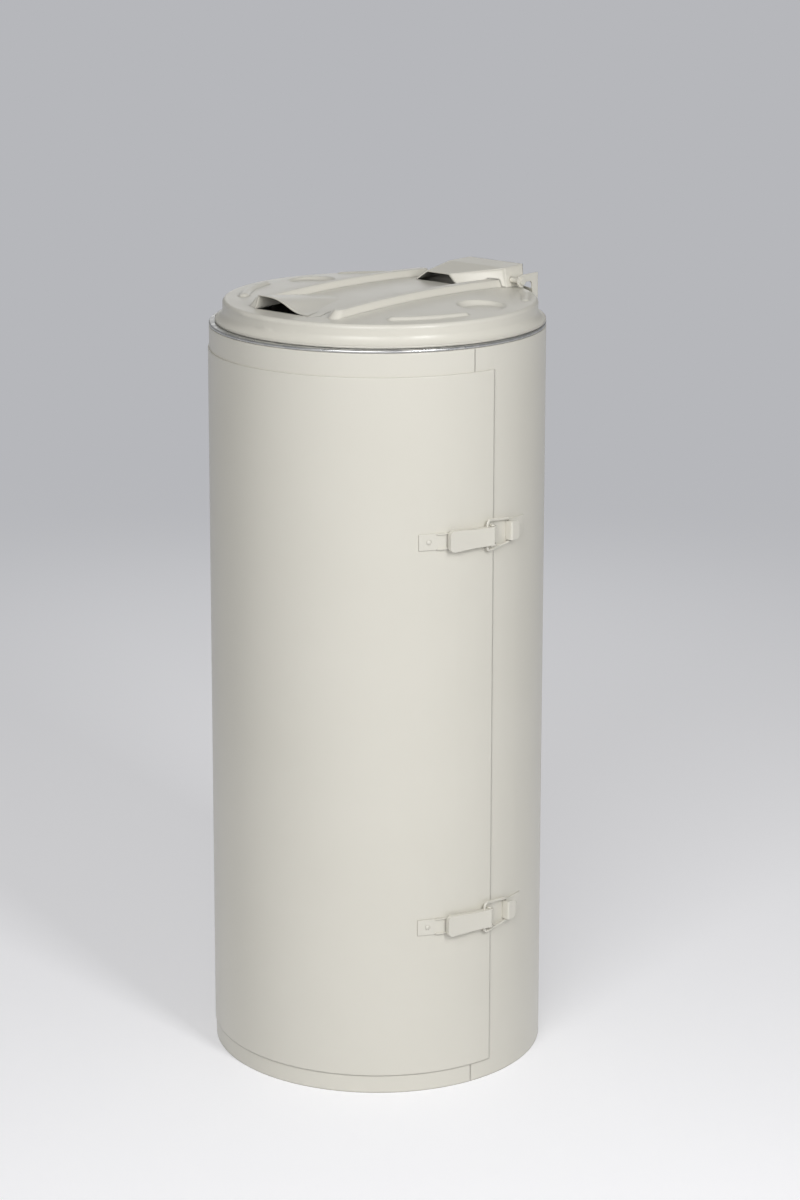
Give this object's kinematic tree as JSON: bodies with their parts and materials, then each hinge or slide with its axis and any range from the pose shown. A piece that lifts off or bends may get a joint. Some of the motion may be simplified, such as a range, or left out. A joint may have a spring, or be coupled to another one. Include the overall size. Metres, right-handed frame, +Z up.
{
  "type": "sack bin",
  "caption": "Round sheet-steel sack bin with a galvanised sack ring, a hinged pressed lid and a full-height front door held by toggle latches.",
  "frame": {"origin": "centre of the base plate's underside, on the floor", "axes": "+Z up the bin, -Y towards the middle of the door, +X towards the latches"},
  "size_m": [0.4113, 0.3984, 0.933],
  "materials": {
    "powder_coat": "satin pebble-grey powder coat",
    "galvanised_steel": "bare galvanised sheet",
    "zinc_steel": "zinc-plated pin"
  },
  "bodies": {
    "body": {"rear_shell": "powder_coat", "top_hoop": "powder_coat", "bottom_hoop": "powder_coat", "base_plate": "powder_coat", "sack_ring": "galvanised_steel", "upper_hinge_body_leaf": "powder_coat", "lower_hinge_body_leaf": "powder_coat", "upper_hinge_pin": "zinc_steel", "lower_hinge_pin": "zinc_steel", "upper_latch_strike": "powder_coat", "lower_latch_strike": "powder_coat", "latch_strike_rivets": "powder_coat", "lid_hinge_bracket": "powder_coat", "lid_hinge_inner_ear": "galvanised_steel", "lid_hinge_pin": "powder_coat", "lid_bracket_rivets": "powder_coat"},
    "door": {"door_panel": "powder_coat", "upper_hinge_door_leaf": "powder_coat", "lower_hinge_door_leaf": "powder_coat", "upper_latch_base": "powder_coat", "lower_latch_base": "powder_coat", "upper_latch_lever_pin": "powder_coat", "lower_latch_lever_pin": "powder_coat", "latch_base_rivets": "powder_coat"},
    "lid": {"lid_shell": "powder_coat"},
    "upper_lever": {"upper_latch_lever": "powder_coat"},
    "upper_bail": {"upper_latch_bail": "powder_coat"},
    "lower_lever": {"lower_latch_lever": "powder_coat"},
    "lower_bail": {"lower_latch_bail": "powder_coat"}
  },
  "joints": [
    {"name": "door_hinge", "type": "hinge", "parent": "body", "child": "door", "pos_m": [-0.20065, -0.01192, 0.431], "axis": [0, 0, -1], "range_deg": [0, 120]},
    {"name": "lid_hinge", "type": "hinge", "parent": "body", "child": "lid", "pos_m": [0, 0.156, 0.916], "axis": [-1, 0, 0], "range_deg": [0, 95]},
    {"name": "upper_lever_pivot", "type": "hinge", "parent": "door", "child": "upper_lever", "pos_m": [0.2025, -0.0299, 0.66], "axis": [0, 0, 1], "range_deg": [0, 110]},
    {"name": "upper_bail_pivot", "type": "hinge", "parent": "upper_lever", "child": "upper_bail", "pos_m": [0.20046, -0.0366, 0.66], "axis": [0, 0, 1], "range_deg": [-101, 0]},
    {"name": "lower_lever_pivot", "type": "hinge", "parent": "door", "child": "lower_lever", "pos_m": [0.2025, -0.0299, 0.202], "axis": [0, 0, 1], "range_deg": [0, 110]},
    {"name": "lower_bail_pivot", "type": "hinge", "parent": "lower_lever", "child": "lower_bail", "pos_m": [0.20046, -0.0366, 0.202], "axis": [0, 0, 1], "range_deg": [-101, 0]}
  ],
  "couplings": [
    {"joint": "upper_bail_pivot", "follows": "upper_lever_pivot", "ratio": -0.91},
    {"joint": "lower_bail_pivot", "follows": "lower_lever_pivot", "ratio": -0.91}
  ]
}
